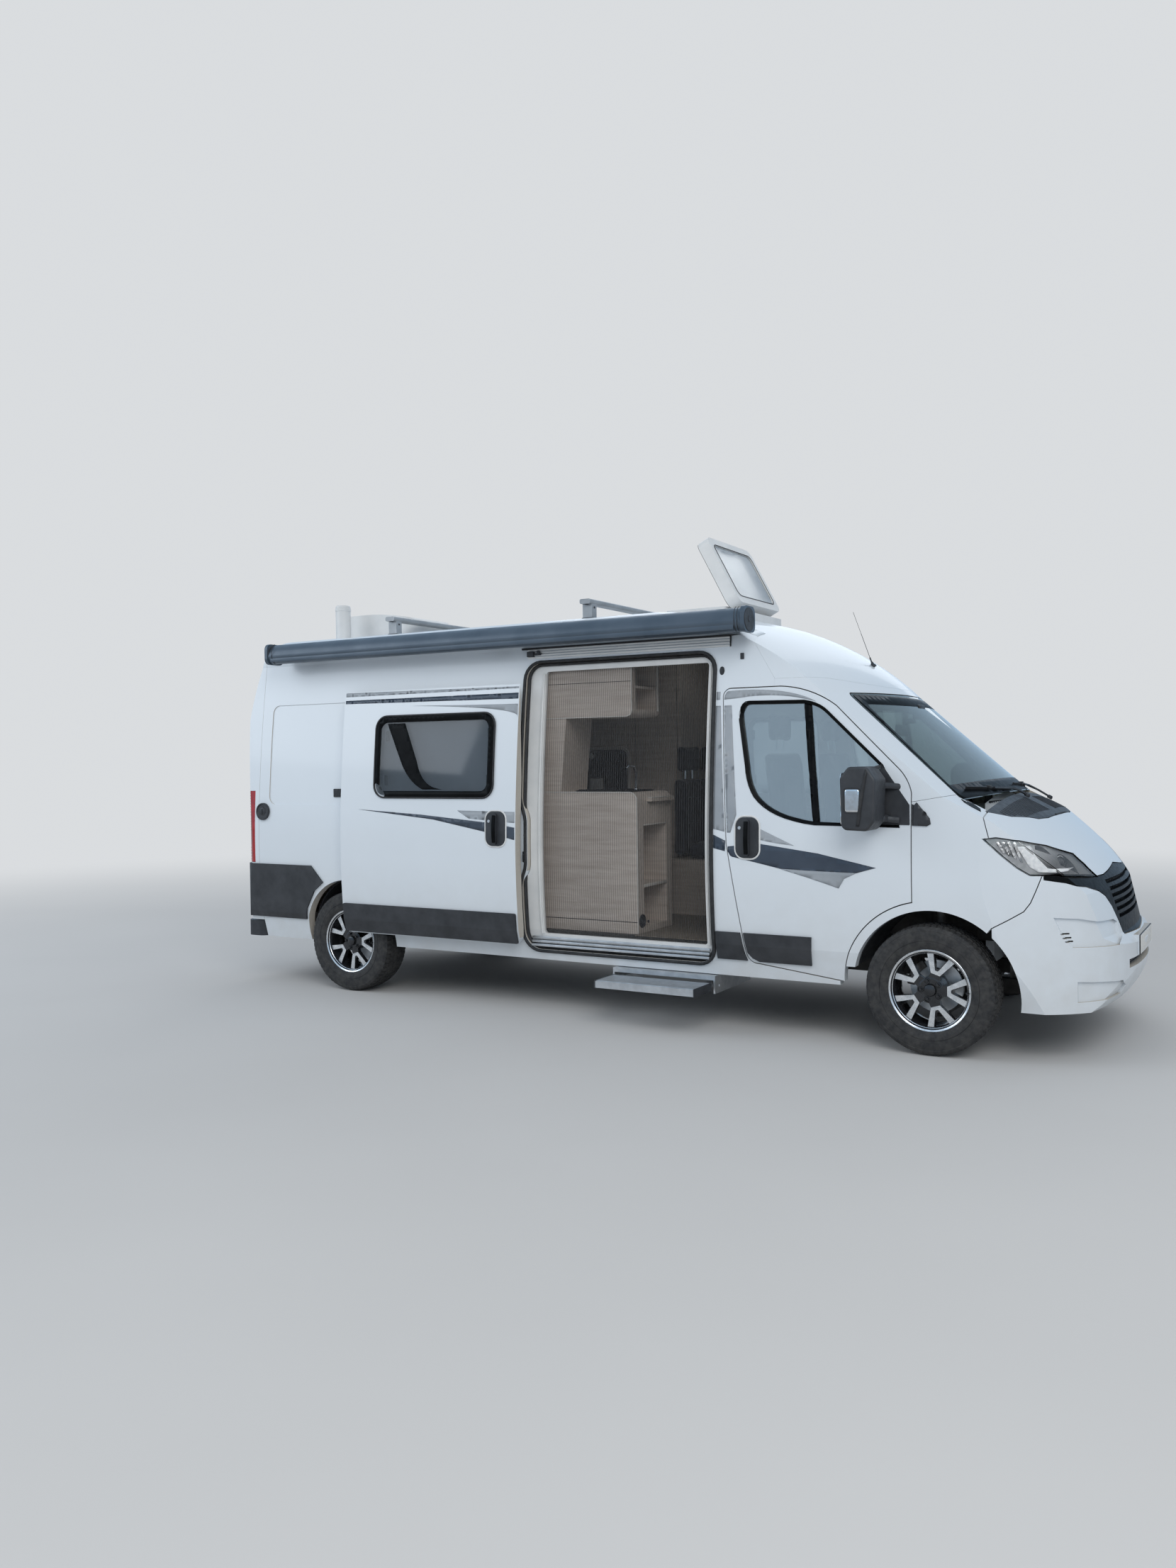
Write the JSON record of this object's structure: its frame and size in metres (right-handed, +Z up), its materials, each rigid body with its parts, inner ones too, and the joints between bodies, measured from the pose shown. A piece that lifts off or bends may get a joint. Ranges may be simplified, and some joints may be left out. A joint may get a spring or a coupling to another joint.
{
  "type": "camper van",
  "caption": "High-roof panel van converted to a camper: hinged cab and rear doors, slid-open side door with insect screen, awning, open skylight, steered front wheels.",
  "frame": {"origin": "on the ground, at the middle of the van's length and width", "axes": "+X towards the front, +Y towards the van's left side, +Z up"},
  "size_m": [5.998, 2.508, 3.0061],
  "materials": {
    "body_white": "gloss white paint",
    "cab_glass": "dark green tinted glass",
    "tinted_acrylic": "dark tinted double acrylic",
    "smoked_acrylic": "milky smoked acrylic",
    "black_plastic": "grained black plastic",
    "gloss_black": "gloss black",
    "lamp_clear": "clear lens",
    "lamp_red": "red lens",
    "white_plastic": "satin white plastic",
    "mesh": "fine pleated insect mesh",
    "underbody_black": "black underbody coating",
    "cast_metal": "bare cast metal",
    "awning_grey": "anthracite coating",
    "bar_grey": "dark grey coating",
    "aluminium": "anodised",
    "light_wood": "light wood laminate",
    "grey_fabric": "woven upholstery",
    "dash_plastic": "soft grained plastic",
    "alloy": "gloss black with machined faces",
    "tyre_rubber": "matt rubber"
  },
  "bodies": {
    "root": {"side_panel_right": "body_white", "side_panel_left": "body_white", "roof_panel": "body_white", "cab_frame": "body_white", "fenders": "body_white", "front_bumper": "body_white", "rear_frame": "body_white", "sliding_door": "body_white", "windscreen": "cab_glass", "cowl": "black_plastic", "grille": "gloss_black", "headlamps": "lamp_clear", "lamp_bowls": "aluminium", "tail_lamps": "lamp_red", "rear_bumper": "black_plastic", "side_cladding": "black_plastic", "sliding_door_window": "tinted_acrylic", "side_windows": "tinted_acrylic", "screen_frame": "white_plastic", "screen_mesh": "mesh", "floor_panel": "underbody_black", "arch_liners": "black_plastic", "front_subframe": "underbody_black", "rear_axle": "underbody_black", "engine": "cast_metal", "underbody": "underbody_black", "awning": "awning_grey", "roof_bars": "bar_grey", "roof_units": "white_plastic", "step_housing": "aluminium", "kitchen": "light_wood", "living_units": "light_wood", "cushions": "grey_fabric", "cab_seats": "grey_fabric", "dashboard": "dash_plastic"},
    "hood": {"hood": "body_white"},
    "front_door_right": {"front_door_right": "body_white", "front_glass_right": "cab_glass", "mirror_right": "black_plastic"},
    "front_door_left": {"front_door_left": "body_white", "front_glass_left": "cab_glass", "mirror_left": "black_plastic"},
    "rear_door_right": {"rear_door_right": "body_white", "rear_glass_right": "cab_glass"},
    "rear_door_left": {"rear_door_left": "body_white", "rear_glass_left": "cab_glass"},
    "skylight_lid": {"skylight_lid": "white_plastic", "skylight_pane": "smoked_acrylic"},
    "step_tread": {"step_tread": "aluminium"},
    "knuckle_right": {"knuckle_right": "cast_metal"},
    "knuckle_left": {"knuckle_left": "cast_metal"},
    "wheel_front_right": {"rim_front_right": "alloy", "tyre_front_right": "tyre_rubber"},
    "wheel_front_left": {"rim_front_left": "alloy", "tyre_front_left": "tyre_rubber"},
    "wheel_rear_right": {"rim_rear_right": "alloy", "tyre_rear_right": "tyre_rubber"},
    "wheel_rear_left": {"rim_rear_left": "alloy", "tyre_rear_left": "tyre_rubber"}
  },
  "joints": [
    {"name": "hood_hinge", "type": "hinge", "parent": "root", "child": "hood", "pos_m": [2.283, 0, 1.316], "axis": [0, -1, 0], "range_deg": [0, 55]},
    {"name": "front_door_right_hinge", "type": "hinge", "parent": "root", "child": "front_door_right", "pos_m": [1.968, -1.032, 1], "axis": [0, 0, 1], "range_deg": [0, 70]},
    {"name": "front_door_left_hinge", "type": "hinge", "parent": "root", "child": "front_door_left", "pos_m": [1.968, 1.032, 1], "axis": [0, 0, -1], "range_deg": [0, 70]},
    {"name": "rear_door_right_hinge", "type": "hinge", "parent": "root", "child": "rear_door_right", "pos_m": [-2.966, -0.795, 1.44], "axis": [0, 0, 1], "range_deg": [0, 180]},
    {"name": "rear_door_left_hinge", "type": "hinge", "parent": "root", "child": "rear_door_left", "pos_m": [-2.966, 0.795, 1.44], "axis": [0, 0, -1], "range_deg": [0, 180]},
    {"name": "skylight_hinge", "type": "hinge", "parent": "root", "child": "skylight_lid", "pos_m": [0.64, 0, 2.536], "axis": [0, 1, 0], "range_deg": [-62, 0]},
    {"name": "step_slide", "type": "slide", "parent": "root", "child": "step_tread", "axis": [0, 1, 0], "range_m": [0, 0.2]},
    {"name": "steer_right", "type": "hinge", "parent": "root", "child": "knuckle_right", "pos_m": [2.051, -0.8, 0.348], "axis": [0, 0, 1], "range_deg": [-35, 35]},
    {"name": "steer_left", "type": "hinge", "parent": "root", "child": "knuckle_left", "pos_m": [2.051, 0.8, 0.348], "axis": [0, 0, 1], "range_deg": [-35, 35]},
    {"name": "front_right_spin", "type": "hinge", "parent": "knuckle_right", "child": "wheel_front_right", "pos_m": [2.051, -0.905, 0.348], "axis": [0, 1, 0], "continuous": true},
    {"name": "front_left_spin", "type": "hinge", "parent": "knuckle_left", "child": "wheel_front_left", "pos_m": [2.051, 0.905, 0.348], "axis": [0, 1, 0], "continuous": true},
    {"name": "rear_right_spin", "type": "hinge", "parent": "root", "child": "wheel_rear_right", "pos_m": [-1.984, -0.895, 0.348], "axis": [0, 1, 0], "continuous": true},
    {"name": "rear_left_spin", "type": "hinge", "parent": "root", "child": "wheel_rear_left", "pos_m": [-1.984, 0.895, 0.348], "axis": [0, 1, 0], "continuous": true}
  ],
  "couplings": [
    {"joint": "steer_left", "follows": "steer_right", "ratio": 1}
  ]
}
